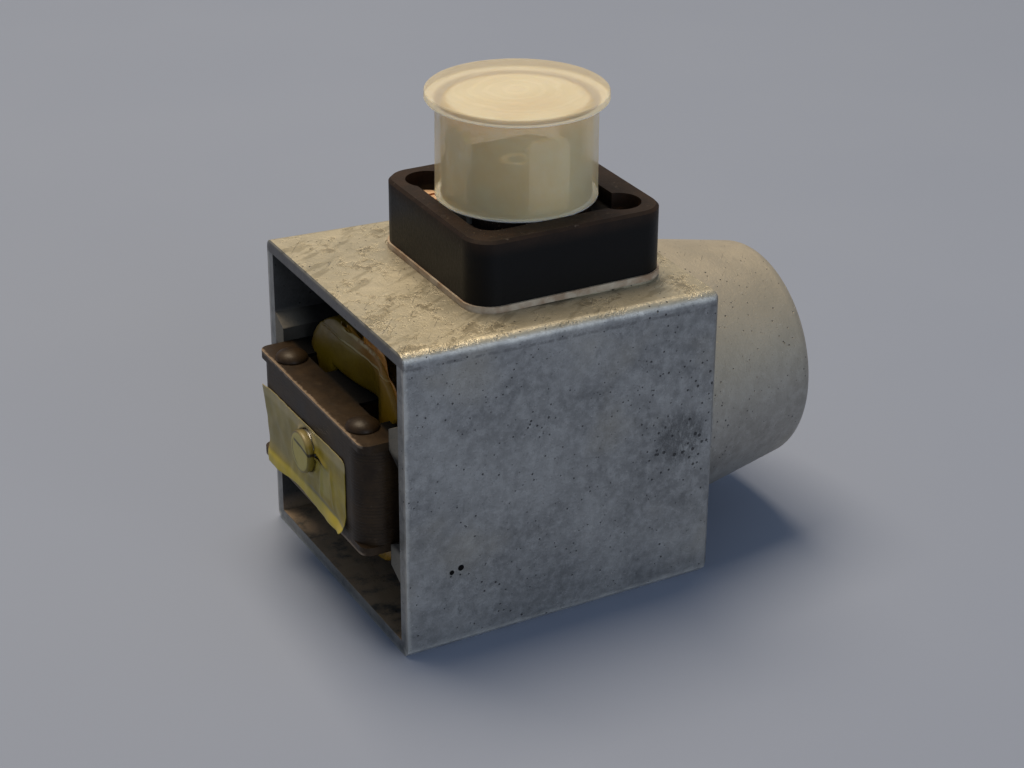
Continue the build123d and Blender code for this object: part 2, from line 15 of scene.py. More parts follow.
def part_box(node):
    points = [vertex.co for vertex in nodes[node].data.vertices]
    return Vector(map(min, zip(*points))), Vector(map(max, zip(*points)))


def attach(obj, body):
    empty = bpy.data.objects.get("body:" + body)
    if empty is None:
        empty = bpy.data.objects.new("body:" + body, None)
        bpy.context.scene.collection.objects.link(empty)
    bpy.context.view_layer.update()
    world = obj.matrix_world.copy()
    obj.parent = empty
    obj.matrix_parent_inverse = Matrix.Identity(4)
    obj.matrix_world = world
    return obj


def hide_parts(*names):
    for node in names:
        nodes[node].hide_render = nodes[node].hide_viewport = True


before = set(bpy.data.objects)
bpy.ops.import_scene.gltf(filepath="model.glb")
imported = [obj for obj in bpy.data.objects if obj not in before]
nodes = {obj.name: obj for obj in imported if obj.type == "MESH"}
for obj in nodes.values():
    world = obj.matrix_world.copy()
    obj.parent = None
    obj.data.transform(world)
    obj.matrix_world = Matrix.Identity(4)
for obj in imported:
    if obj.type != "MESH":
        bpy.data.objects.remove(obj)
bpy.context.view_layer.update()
print("nodes loaded:", len(nodes))

# %% [markdown]
# ## Where things are
# Sizes in this notebook are in millimetres along three directions: x along the armature's axis from the
# open face of the housing, y across, and z up from that axis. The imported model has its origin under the
# middle of the solenoid, so one helper turns a place on the axis into a place in the scene. The open
# face and the axis are read from the housing and the push pin instead of being typed in again.

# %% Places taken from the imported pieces
mm = 0.001
housing_low, housing_high = (Vector(corner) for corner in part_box("housing"))
pin_low, pin_high = (Vector(corner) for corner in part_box("push_pin"))
face_x = housing_low.x
axis_z = (pin_low.z + pin_high.z) / 2


def place(x, y, z):
    """A point given in millimetres from the open face and the axis, in the scene's metres."""
    return Vector((face_x + x * mm, y * mm, axis_z + z * mm))


def span(node):
    """The low and high corners of a node, in millimetres from the open face and the axis."""
    low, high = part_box(node)
    shift = Vector((face_x, 0, axis_z))
    return (Vector(low) - shift) / mm, (Vector(high) - shift) / mm


print("open face at", round(face_x, 5), "axis height", round(axis_z, 5))

# %% [markdown]
# ## Arithmetic for materials
# A material's pattern is easier to read as an expression than as a drawing of boxes and wires. The
# class below wraps one output of a node, and every + or * on it adds a Math node. Colours go through
# Mix nodes, because a Math node would turn them grey.

# %% A number that varies over a surface
class Field:
    """A number that varies over a surface."""

    def __init__(self, finish, socket):
        self.finish = finish
        self.socket = socket

    def calculate(self, operation, *values):
        return self.finish.add("ShaderNodeMath", {"operation": operation}, values)

    def __add__(self, other):
        return self.calculate("ADD", self, other)

    def __sub__(self, other):
        return self.calculate("SUBTRACT", self, other)

    def __rsub__(self, other):
        return self.calculate("SUBTRACT", other, self)

    def __mul__(self, other):
        return self.calculate("MULTIPLY", self, other)

    def __truediv__(self, other):
        return self.calculate("DIVIDE", self, other)

    def __abs__(self):
        return self.calculate("ABSOLUTE", self)

    __radd__ = __add__
    __rmul__ = __mul__

    def lowest(self, other):
        return self.calculate("MINIMUM", self, other)

    def highest(self, other):
        return self.calculate("MAXIMUM", self, other)

    def sine(self):
        return self.calculate("SINE", self)

    def root(self):
        return self.calculate("SQRT", self)

    def rise(self, start, end):
        """0 below start, 1 above end and a soft step between them."""
        settings = {"interpolation_type": "SMOOTHSTEP"}
        return self.finish.add("ShaderNodeMapRange", settings, (self, start, end, 0.0, 1.0))


# %% A material written as code
class Finish:
    """A material whose pattern is measured in millimetres on the object."""

    def __init__(self, name):
        self.material = bpy.data.materials.new(name)
        self.material.use_nodes = True
        self.tree = self.material.node_tree
        self.shader = self.tree.nodes["Principled BSDF"]
        coordinates = self.tree.nodes.new("ShaderNodeTexCoord").outputs["Object"]
        from_origin = (coordinates, place(0, 0, 0))
        shift = self.add("ShaderNodeVectorMath", {"operation": "SUBTRACT"}, from_origin)
        scaled = self.tree.nodes.new("ShaderNodeVectorMath")
        scaled.operation = "SCALE"
        self.tree.links.new(shift.socket, scaled.inputs[0])
        scaled.inputs["Scale"].default_value = 1 / mm
        self.point = scaled.outputs[0]
        axes = self.tree.nodes.new("ShaderNodeSeparateXYZ")
        self.tree.links.new(self.point, axes.inputs[0])
        self.x, self.y, self.z = (Field(self, socket) for socket in axes.outputs)

    def add(self, kind, settings=(), values=(), output=0):
        """One node: its settings first, then its inputs by position or by name."""
        node = self.tree.nodes.new(kind)
        for key, value in dict(settings).items():
            setattr(node, key, value)
        pairs = values.items() if isinstance(values, dict) else enumerate(values)
        for key, value in pairs:
            value = value.socket if isinstance(value, Field) else value
            if isinstance(value, bpy.types.NodeSocket):
                self.tree.links.new(value, node.inputs[key])
            elif value is not None:
                node.inputs[key].default_value = value
        return Field(self, node.outputs[output])

    def noise(self, size, detail=3.0, roughness=0.55, stretch=(1, 1, 1), shift=0.0):
        """Cloudy noise with patches about as large as size, stretched along the axes."""
        mapping = {"Vector": self.point, "Scale": stretch, "Location": (shift, 2 * shift, -shift)}
        moved = self.add("ShaderNodeMapping", {}, mapping)
        values = {"Vector": moved, "Scale": 1 / size, "Detail": detail, "Roughness": roughness}
        return self.add("ShaderNodeTexNoise", {}, values)

    def streaks(self, width, length, turn, shift=0.0):
        """Noise drawn out along a line that is turned about the vertical."""
        values = {"Vector": self.point, "Location": (shift, shift, 0), "Rotation": (0, 0, turn)}
        values["Scale"] = (length, width, width)
        moved = self.add("ShaderNodeMapping", {"vector_type": "TEXTURE"}, values)
        return self.add("ShaderNodeTexNoise", {}, {"Vector": moved, "Scale": 1.0, "Detail": 3.0})

    def cells(self, size, stretch=(1, 1, 1), shift=0.0):
        """The distance to the nearest of many scattered points, as a share of size."""
        mapping = {"Vector": self.point, "Scale": stretch, "Location": (shift, -shift, shift)}
        moved = self.add("ShaderNodeMapping", {}, mapping)
        return self.add("ShaderNodeTexVoronoi", {}, {"Vector": moved, "Scale": 1 / size})

    def mix(self, share, first, second):
        """A colour between two colours."""
        settings = {"data_type": "RGBA"}
        colours = [c if isinstance(c, Field) else (*c, 1.0) for c in (first, second)]
        return self.add("ShaderNodeMix", settings, {0: share, 6: colours[0], 7: colours[1]}, output=2)

    def bump(self, height, depth):
        """A surface normal from a height, whose full range is as deep as depth."""
        values = {"Height": height, "Distance": depth * mm, "Strength": 1.0}
        return self.add("ShaderNodeBump", {}, values)

    def near(self, x, y, z, radius):
        """1 at a place, falling to 0 at a radius from it."""
        settings = {"operation": "DISTANCE"}
        distance = self.add("ShaderNodeVectorMath", settings, (self.point, (x, y, z)), output=1)
        return 1.0 - distance.rise(0.0, radius)

    def finish(self, **values):
        """Sets the shader's sockets, by names with underscores for spaces."""
        for key, value in values.items():
            socket = self.shader.inputs[key.replace("_", " ")]
            if isinstance(value, Field):
                self.tree.links.new(value.socket, socket)
            elif socket.type == "RGBA":
                socket.default_value = (*value, 1.0)
            else:
                socket.default_value = value
        return self.material


def dress(material, *names):
    """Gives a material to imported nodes."""
    for name in names:
        for slot in nodes[name].material_slots:
            slot.material = material
    print("dressed", ", ".join(names), "with", material.name)


# %% [markdown]
# ## The cast housing
# Die-cast aluminium leaves the mould with a dull skin. Years of handling give it a cloudy grey mottle,
# fine dark specks where pores have filled with dirt, two larger pits and a dark cluster of them. The
# pits are painted near-black as the shade inside them. The top and the boss are painted lighter and
# warmer, partly as yellowing and partly as the warm light from above, and the top is scuffed. The edges
# are rubbed bright and also carry a painted highlight, and they are found by measuring how close a point
# is to two faces of the tapered box at once. A thin dark line runs along the sides just under the top.
# Inside, the walls are painted nearly black as shade, with brown stains on the floor near the opening.

# %% The sizes of the box
box_length = 49.2
half_width = (housing_high.y - housing_low.y) / mm / 2
half_height = (axis_z - housing_low.z) / mm
side_taper = 0.9
top_taper = 1.2
wall = 2.0
inside_shade_end = 46.0
pale_rail_height = 9.6
pale_rail_reach = 4.6
cluster_centre = (44.5, -21.8, -0.5)
upper_cluster_centre = (46.5, -21.8, 8.0)
smudge_centre = (43.6, -21.8, 0.5)
pits = ((8.3, -22.3, -10.8, 0.75), (6.9, -22.3, -11.2, 0.6))

# %% Die-cast aluminium
def cast_metal():
    """The casting outside and inside, from its cloudy grey to its pits, its painted inner shade and its
    stained floor.
    """
    f = Finish("die_cast_metal")
    share = f.x / box_length
    to_side = half_width - share * side_taper - abs(f.y)
    to_top = half_height - share * top_taper - f.z
    to_bottom = f.z + half_height
    on_box = 1.0 - f.x.rise(box_length - 0.2, box_length + 0.3)
    on_top = (1.0 - to_top.rise(0.3, 0.8)) * on_box

    cloud = f.noise(9.0, 6, 0.62)
    fine_cloud = f.noise(1.6, 5, 0.7, shift=7.0)
    drawn_out = f.noise(1.6, 5, 0.7, stretch=(1.0, 1.0, 0.7), shift=3.0)
    grey = f.mix(cloud.rise(0.30, 0.72), (0.182, 0.186, 0.190), (0.295, 0.297, 0.298))
    grey = f.mix(fine_cloud.rise(0.36, 0.72) * 0.55, grey, (0.40, 0.405, 0.41))
    grey = f.mix(drawn_out.rise(0.54, 0.72) * 0.38, grey, (0.10, 0.105, 0.11))
    warm = f.noise(14.0, 3, 0.5, shift=21.0).rise(0.5, 0.75) * 0.35
    grey = f.mix(warm, grey, (0.36, 0.33, 0.27))

    edge_wander = (f.noise(3.0, 4) - 0.5) * 1.3
    along_edge = to_side.highest(to_top.lowest(to_bottom)) + edge_wander
    rim = f.x.highest(to_side.lowest(to_bottom)) + edge_wander
    # The edges are painted lighter, both as wear and as the highlight that an edge catches.
    rubbed_and_highlit_edges = (1.0 - along_edge.rise(0.2, 1.5)) * on_box
    rubbed_and_highlit_edges = rubbed_and_highlit_edges.highest((1.0 - rim.rise(0.1, 0.7)) * 0.45)
    colour = f.mix(rubbed_and_highlit_edges * 0.8, grey, (0.74, 0.73, 0.68))
    # A thin dark line along the sides, about 2 mm under the top edge.
    dark_line_under_top = 1.0 - abs(to_top - 2.1 + edge_wander * 0.3).rise(0.10, 0.35)
    dark_line_under_top = dark_line_under_top * (1.0 - to_side.rise(0.2, 0.5)) * on_box * drawn_out.rise(0.40, 0.55)
    colour = f.mix(dark_line_under_top * 0.5, colour, (0.10, 0.10, 0.105))

    scuff = f.noise(4.0, 7, 0.75, shift=41.0).rise(0.52, 0.62) * on_top
    rubbed_patch = f.streaks(1.6, 7.0, 0.5, 14.0).rise(0.54, 0.64) * on_top
    # The top is painted lighter and warmer: partly yellowing, partly the warm light of the lamp above.
    colour = f.mix(on_top * 0.65, colour, (0.54, 0.475, 0.33))
    # The boss gets a beige tint that grows towards its top as painted warm light from above.
    boss_tint_and_painted_light = f.x.rise(box_length + 0.2, box_length + 0.9) * (0.22 + f.z.rise(-4.0, 14.0) * 0.65)
    colour = f.mix(boss_tint_and_painted_light, colour, (0.50, 0.44, 0.34))
    colour = f.mix(rubbed_patch * 0.45, colour, (0.20, 0.175, 0.12))
    colour = f.mix(scuff * 0.6, colour, (0.17, 0.145, 0.10))
    scratch = f.streaks(0.18, 7.0, 0.9).rise(0.68, 0.72)
    scratch = scratch.highest(f.streaks(0.15, 9.0, -0.35, 5.0).rise(0.70, 0.74))
    colour = f.mix(scratch * 0.5, colour, (0.13, 0.12, 0.11))
    bright_scratch = f.streaks(0.12, 6.0, 0.45, 9.0).rise(0.70, 0.73)
    colour = f.mix(bright_scratch * 0.5, colour, (0.70, 0.69, 0.66))

    cluster = f.near(*cluster_centre, 9.0).highest(f.near(*upper_cluster_centre, 6.0) * 0.7)
    smudge = f.near(*smudge_centre, 7.5).rise(0.10, 0.75)
    smudge = smudge * f.noise(1.3, 7, 0.85, stretch=(1.3, 1.0, 0.6), shift=2.0).rise(0.40, 0.62)
    grain = f.cells(1.1)
    density = f.noise(6.0, 3, shift=11.0).rise(0.45, 0.75) * 0.08 + cluster * 0.16 + 0.045
    speck = 1.0 - (grain - density).rise(0.0, 0.07)
    dust = 1.0 - (f.cells(0.45, shift=4.0) - cluster * 0.14 - cloud * 0.16).rise(0.0, 0.10)
    first_pit, second_pit = (f.near(*pit).rise(0.25, 0.5) for pit in pits)
    holes = first_pit.highest(second_pit)
    colour = f.mix(dust * 0.30, colour, (0.16, 0.165, 0.17))
    colour = f.mix(smudge * 0.62, colour, (0.060, 0.061, 0.066))
    colour = f.mix(speck * 0.85, colour, (0.05, 0.05, 0.052))
    # The two pits are painted near-black as the shade inside them.
    colour = f.mix(holes, colour, (0.006, 0.006, 0.006))

    # Past the wall's thickness the inside is painted nearly black as shade; near the opening the floor
    # keeps brown stains.
    past_wall = to_side.lowest(to_top).lowest(to_bottom).rise(wall - 0.15, wall + 0.05)
    inside = past_wall * (1.0 - f.x.rise(inside_shade_end, inside_shade_end + 1.0))
    on_floor = 1.0 - to_bottom.rise(wall, wall + 3.0)
    stained = f.noise(4.0, 5, 0.65, shift=31.0).rise(0.30, 0.55) * on_floor
    inside_shade_and_stain = f.mix(stained * (1.0 - f.x.rise(3.0, 12.0)), (0.010, 0.009, 0.008), (0.28, 0.19, 0.11))
    # At the rails' ends by the open face the painted shade gives way to a paler grey.
    at_rail = 1.0 - abs(abs(f.z) - pale_rail_height).rise(1.8, 3.0)
    pale_rail = at_rail * (1.0 - to_side.rise(pale_rail_reach, pale_rail_reach + 0.4))
    pale_rail = pale_rail * (1.0 - f.x.rise(1.5, 6.0))
    inside_shade_and_stain = f.mix(pale_rail, inside_shade_and_stain, (0.17, 0.155, 0.13))
    colour = f.mix(inside * 0.92, colour, inside_shade_and_stain)
    lip = (1.0 - f.x.rise(0.1, 0.3)) * to_top.rise(0.25, 0.6)
    lip = lip * (1.0 - to_top.rise(wall - 0.1, wall + 0.1))
    colour = f.mix(lip * 0.7, colour, (0.12, 0.115, 0.12))

    rough = 0.50 + (cloud - 0.5) * 0.30 + inside * 0.3 - rubbed_and_highlit_edges * 0.14 - on_top * 0.06
    skin = f.noise(0.35, 4, 0.6) * 0.35 + fine_cloud * 0.6 + cloud * 0.8
    height = skin - speck * 0.9 - holes * 2.5 - scratch * 0.4 - smudge * 0.6 - scuff * 0.4
    return f.finish(
        Base_Color=colour,
        Metallic=0.72 - inside * 0.7,
        Roughness=rough,
        Specular_IOR_Level=0.12,
        Normal=f.bump(height, 0.12),
    )


dress(cast_metal(), "housing")

# %% [markdown]
# ## The brown core
# The stator is a stack of thin E-shaped sheets between two thicker plates, riveted together and dipped
# in brown varnish. The varnish is thin: the edges of the sheets show through it as fine lines on the
# front and the sides, while the plates and rivets are smooth with a soft shine and rubbed corners. The
# rubbed front edges also carry a painted highlight. Behind the yoke the plates are painted nearly black,
# as the shade between the yoke and the coil.

# %% Brown varnish, with or without the edges of the sheets
core_low, core_high = span("stator_laminations")
plate_top = span("stator_top_plate")[1].z
sheet_pitch = 0.5
yoke_back = 1.2


def varnish(name, with_sheets):
    """The core's brown varnish, with the edges of the sheets showing through it or without."""
    f = Finish(name)
    cloud = f.noise(5.0, 5, 0.6)
    fine = f.noise(0.9, 4, 0.6, shift=5.0)
    brown = f.mix(cloud.rise(0.3, 0.7), (0.013, 0.0068, 0.003), (0.037, 0.021, 0.0088))
    brown = f.mix(fine.rise(0.55, 0.8) * 0.4, brown, (0.065, 0.045, 0.028))
    height = f.noise(2.2, 3, 0.5, shift=13.0) * 0.8 + fine * 0.35
    if with_sheets:
        lines = (f.z * (2 * math.pi / sheet_pitch)).sine()
        broken = f.noise(3.0, 3, 0.6, stretch=(0.5, 0.5, 2.0)).rise(0.35, 0.65)
        dark_line = lines.rise(0.55, 0.95) * broken
        brown = f.mix(dark_line * 0.35, brown, (0.010, 0.008, 0.007))
        height = height - dark_line * 0.5
    # The plates' front edges are painted lighter, both as wear and as the highlight that they catch.
    worn = (f.x - core_low.x).highest(plate_top - abs(f.z)) + (fine - 0.5) * 0.9
    worn = (1.0 - worn.rise(0.12, 0.5)) * 0.8
    brown = f.mix(worn, brown, (0.24, 0.18, 0.13))
    chipped = f.noise(1.5, 5, 0.7, shift=17.0).rise(0.66, 0.72)
    brown = f.mix(chipped * 0.4, brown, (0.13, 0.10, 0.075))
    on_plate = 1.0 - (plate_top - f.z).rise(0.3, 0.8)
    # Behind the yoke the plates are painted nearly black as the shade between yoke and coil.
    painted_shade_behind_yoke = f.x.rise(yoke_back - 0.5, yoke_back + 0.4) * on_plate
    brown = f.mix(painted_shade_behind_yoke, brown, (0.0015, 0.001, 0.0008))
    return f.finish(
        Base_Color=brown,
        Metallic=0.05,
        Roughness=0.42 + cloud * 0.16 - chipped * 0.08 + painted_shade_behind_yoke * 0.4,
        Specular_IOR_Level=0.2,
        Coat_Weight=(1.0 - painted_shade_behind_yoke) * 0.10,
        Coat_Roughness=0.3,
        Normal=f.bump(height, 0.10),
    )


dress(varnish("varnished_sheets", True), "stator_laminations")
plate_varnish = varnish("varnished_plates", False)
dress(plate_varnish, "stator_top_plate", "stator_bottom_plate", "stator_rivets")

# %% [markdown]
# ## Inner metal
# The pieces behind the coil show only through gaps and when the armature moves. They still get the real
# metals: dull electrical steel for the armature, a ground pin, brass, copper and tinned contacts. The
# guide bush was dipped together with the core, so it has the core's varnish.

# %% Bare metals
def metal(name, light, dark, roughness, size=2.0, stretch=(1, 1, 1)):
    """A bare metal whose tone wanders between two colours, in patches stretched along the axes."""
    f = Finish(name)
    cloud = f.noise(size, 5, 0.6, stretch=stretch)
    fine = f.noise(size / 6, 3, 0.6, stretch=stretch, shift=6.0)
    colour = f.mix(cloud.rise(0.3, 0.7), dark, light)
    return f.finish(
        Base_Color=colour,
        Metallic=0.95,
        Roughness=roughness + (fine - 0.5) * 0.2,
        Normal=f.bump(cloud * 0.6 + fine * 0.4, 0.02),
    )


steel_tones = (0.40, 0.38, 0.36), (0.24, 0.22, 0.21)
ground_tones = (0.62, 0.62, 0.61), (0.46, 0.46, 0.46)
brass_tones = (0.72, 0.56, 0.27), (0.52, 0.38, 0.17)
copper_tones = (0.72, 0.36, 0.20), (0.50, 0.22, 0.12)
tin_tones = (0.68, 0.68, 0.65), (0.46, 0.46, 0.44)
plating_tones = (0.88, 0.62, 0.42), (0.66, 0.42, 0.27)

steel_sheets = metal("electrical_steel", *steel_tones, 0.5, stretch=(0.3, 0.3, 6.0))
ground_steel = metal("ground_steel", *ground_tones, 0.28, stretch=(8.0, 1.0, 1.0))
brass = metal("turned_brass", *brass_tones, 0.3)
copper = metal("copper", *copper_tones, 0.35)
tinned = metal("tinned_contacts", *tin_tones, 0.34, stretch=(1.0, 1.0, 0.2))
plated = metal("yellow_plated_screws", *plating_tones, 0.45, size=1.2)

dress(steel_sheets, "armature_laminations", "armature_top_plate")
dress(steel_sheets, "armature_bottom_plate", "armature_rivets")
dress(ground_steel, "push_pin", "override_pin", "override_clip")
dress(brass, "threaded_insert")
dress(plate_varnish, "guide_bush")
dress(copper, "shading_rings", "coil_winding")
dress(tinned, "contact_blade_1", "contact_blade_2", "earth_blade")
dress(plated, "base_screws")

# %% [markdown]
# ## Plastics and rubber
# The plug base is a black thermoset moulding with a slight gloss, brown dust on its upper faces and a
# few crumbs in the near corner of its pocket. The gasket under it is a pale fibre sheet. The rest are
# plain mouldings.

# %% Black moulding
pocket_corner = (19.5, -9.5)


def black_moulding():
    """The black plastic of the plug base, dusty near its top."""
    f = Finish("black_moulding")
    cloud = f.noise(4.0, 4, 0.6)
    fine = f.noise(0.5, 3, 0.6, shift=8.0)
    low, high = span("plug_base")
    upper = f.z.rise(high.z - 2.6, high.z - 0.1)
    dust = upper * (0.35 + cloud.rise(0.3, 0.7) * 0.4)
    colour = f.mix(dust, (0.0035, 0.0034, 0.0036), (0.034, 0.019, 0.012))
    crumbs = f.noise(0.45, 4, 0.75, shift=3.0).rise(0.60, 0.66)
    pocket = f.near(*pocket_corner, high.z - 1.0, 6.0).rise(0.0, 0.5) * crumbs
    colour = f.mix(pocket * 0.8, colour, (0.26, 0.18, 0.12))
    at_edge = f.z.rise(high.z - 0.45, high.z - 0.1)
    worn = f.noise(1.2, 4, 0.7, shift=2.0).rise(0.60, 0.75) * at_edge
    colour = f.mix(worn * 0.4, colour, (0.20, 0.16, 0.13))
    return f.finish(
        Base_Color=colour,
        Roughness=0.42 + upper * 0.16 + (fine - 0.5) * 0.2,
        Specular_IOR_Level=0.15,
        Normal=f.bump(fine * 0.4 + cloud * 0.6 + pocket * 4.0, 0.06),
    )


def plain_moulding(name, light, dark, roughness):
    """A plain plastic, rubber or sheet whose tone wanders between two colours."""
    f = Finish(name)
    size = 2.5
    cloud = f.noise(size, 5, 0.6)
    fine = f.noise(size / 8, 3, 0.6, shift=4.0)
    return f.finish(
        Base_Color=f.mix(cloud.rise(0.3, 0.7), dark, light),
        Roughness=roughness + (fine - 0.5) * 0.2,
        Normal=f.bump(cloud * 0.5 + fine * 0.5, 0.05),
    )


gasket_sheet = plain_moulding("gasket_sheet", (0.50, 0.43, 0.33), (0.30, 0.20, 0.13), 0.7)
bobbin = plain_moulding("bobbin_moulding", (0.72, 0.66, 0.52), (0.55, 0.48, 0.36), 0.5)
sleeve = plain_moulding("wire_sleeve", (0.60, 0.55, 0.47), (0.45, 0.40, 0.33), 0.6)
rubber = plain_moulding("black_rubber", (0.035, 0.035, 0.036), (0.018, 0.018, 0.019), 0.6)

dress(black_moulding(), "plug_base", "contact_block")
dress(gasket_sheet, "base_gasket")
dress(bobbin, "coil_bobbin")
dress(sleeve, "lead_wires")
dress(rubber, "override_o_ring", "armature_stop_pads")

# %% [markdown]
# ## New pieces
# A new piece is finished in the same way each time: it becomes a mesh at the origin, rides on a body
# and hides the imported node that it stands for.

# %% Adding a modelled piece
def add_piece(name, shape, material, body, slot, *replaced):
    """Makes an object of a bmesh, smooth-shaded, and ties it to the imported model."""
    mesh = bpy.data.meshes.new(name)
    shape.to_mesh(mesh)
    shape.free()
    for face in mesh.polygons:
        face.use_smooth = True
    piece = bpy.data.objects.new(name, mesh)
    bpy.context.scene.collection.objects.link(piece)
    mesh.materials.append(material)
    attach(piece, body)
    if replaced:
        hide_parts(*replaced)
    print("made", name, "with", len(mesh.polygons), "faces")
    return piece


def thicken(piece, thickness):
    """Gives a sheet its thickness, half of it on each side."""
    skin = piece.modifiers.new("thickness", "SOLIDIFY")
    skin.thickness = thickness * mm
    skin.offset = 0.0


def spin(shape, line, centre, axis, steps, closed=False):
    """Joins points into a line or a loop and turns it once round an axis."""
    following = line[1:] + line[:1] if closed else line[1:]
    edges = [shape.edges.new(pair) for pair in zip(line, following)]
    turn = {"cent": centre, "axis": axis, "angle": 2 * math.pi, "steps": steps, "use_merge": True}
    bmesh.ops.spin(shape, geom=line + edges, **turn)


# %% Soft steps and humps
def step(value, start, end):
    """0 below start, 1 above end and a soft step between them."""
    share = min(max((value - start) / (end - start), 0.0), 1.0)
    return share * share * (3 - 2 * share)


def hump(value, width):
    """1 at zero, falling smoothly to nothing a few widths away."""
    return math.exp(-((value / width) ** 2))


# %% [markdown]
# ## The rivets of the core
# Two rivets with domed heads hold the yoke, and two more end flush with the plates near the tips of the
# side legs. A rivet is a lathe shape: half of its section is drawn once from top to bottom, then spun
# about its own axis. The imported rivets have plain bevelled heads, so these rounder ones replace them.

# %% Rivets, spun
rivet_low, rivet_high = span("stator_rivets")
shank_radius = 1.5
rivet_head_radius = 2.4
head_height = rivet_high.z - plate_top
headed_x = rivet_low.x + rivet_head_radius
headed_y = 12.0


def rivet_section(with_heads):
    """Half of a rivet's section as radius and height, from the top to the bottom of its axis."""
    upper = [(0, plate_top), (shank_radius, plate_top)]
    if with_heads:
        leans = [math.radians(90 * i / 10) for i in range(11)]
        dome = [(rivet_head_radius * math.sin(a), plate_top + head_height * math.cos(a)) for a in leans]
        upper = dome + [(shank_radius, plate_top)]
    return upper + [(radius, -height) for radius, height in reversed(upper)]


def make_rivets(material):
    """Two rivets with heads at the yoke and two flush ones in the side legs."""
    shape = bmesh.new()
    flush_x, flush_y = rivet_high.x - shank_radius, rivet_high.y - shank_radius
    places = [(headed_x, side * headed_y, True) for side in (-1, 1)]
    places += [(flush_x, side * flush_y, False) for side in (-1, 1)]
    for x, y, with_heads in places:
        section = rivet_section(with_heads)
        line = [shape.verts.new(place(x + radius, y, height)) for radius, height in section]
        spin(shape, line, place(x, y, 0), (0, 0, 1), 40)
    bmesh.ops.remove_doubles(shape, verts=shape.verts, dist=1e-6)
    bmesh.ops.recalc_face_normals(shape, faces=shape.faces)
    return add_piece("core_rivets", shape, material, "solenoid", "core_varnish", "stator_rivets")


make_rivets(plate_varnish)

# %% [markdown]
# ## The dust cap
# The cap is moulded from natural polyethylene: a thin cup with a thicker flange, whose top is slightly
# dished and has soft rings left by the mould. It is round, so half of its section is drawn as a line of
# points and spun about its axis. The plastic lets some light through and scatters the rest, so its
# shader is partly see-through with full subsurface scattering. Less shows through its flange and its
# moulded edges, and those edges carry a painted highlight. The rings on the top are painted lighter as
# the highlights that they catch.

# %% The cap's section, spun
flange_reach = 1.5
cap_wall = 0.7
cap_top = 1.30
ring_spacing = 2.6


def cap_section(flange, bottom, top):
    """Half of the cap's section, from the centre of its top round to the centre underneath."""
    body = flange - flange_reach
    inner = body - cap_wall
    top_line = []
    for i in range(0, 45):
        r = (flange - 0.35) * i / 44
        ring = 0.035 * math.cos(r * 2 * math.pi / ring_spacing)
        ring = ring * step(r, 0.3, 1.5) * (1 - step(r, 10.2, 11.2))
        dish = -0.25 * (1 - step(r, 9.0, 11.8)) + 0.12 * (1 - step(r, 0.0, 3.0))
        top_line.append((r, top + ring + dish))
    side = [(flange - 0.12, top - 0.03), (flange, top - 0.16)]
    side += [(flange, top - 1.12), (flange - 0.08, top - 1.22)]
    under = [(flange - 0.30, top - 1.25), (body + 0.25, top - 1.28), (body + 0.05, top - 1.5)]
    heights = [top - 1.5 - (top - 1.5 - bottom) * i / 12 for i in range(1, 12)]
    skirt = [(body + 0.10 * (1 - (h - bottom) / (top - bottom)), h) for h in heights]
    foot = [(body + 0.12, bottom + 0.12), (body, bottom), (inner + 0.1, bottom), (inner, bottom + 0.15)]
    inside = [(inner, h) for h in reversed(heights)]
    inside += [(inner - 0.3, top - cap_top - 0.15), (inner - 1.0, top - cap_top)]
    ceiling = [((inner - 1.0) * i / 8, top - cap_top) for i in range(7, -1, -1)]
    return top_line + side + under + skirt + foot + inside + ceiling


def make_cap(material):
    """The dust cap as a body of revolution, with the slight waves of a thin moulding."""
    low, high = span("dust_cap")
    centre = (low + high) / 2
    shape = bmesh.new()
    points = cap_section((high.x - low.x) / 2, low.z, high.z)
    line = [shape.verts.new(place(centre.x + r, centre.y, z)) for r, z in points]
    middle = place(centre.x, centre.y, 0)
    spin(shape, line, middle, (0, 0, 1), 112)
    bmesh.ops.remove_doubles(shape, verts=shape.verts, dist=1e-6)
    for vert in shape.verts:
        from_axis = vert.co - middle
        wobble = noise.noise(Vector((from_axis.x, from_axis.y, vert.co.z)) * 90) * 0.03 * mm
        radial = Vector((from_axis.x, from_axis.y, 0))
        if radial.length > 2 * mm:
            vert.co += radial.normalized() * wobble
        vert.co.z += noise.noise(Vector((from_axis.x, from_axis.y, 0.3)) * 140) * 0.05 * mm
    bmesh.ops.recalc_face_normals(shape, faces=shape.faces)
    piece = add_piece("dust_cap_moulding", shape, material, "cap", "cap_plastic", "dust_cap")
    piece.data.set_sharp_from_angle(angle=math.radians(38))
    return piece


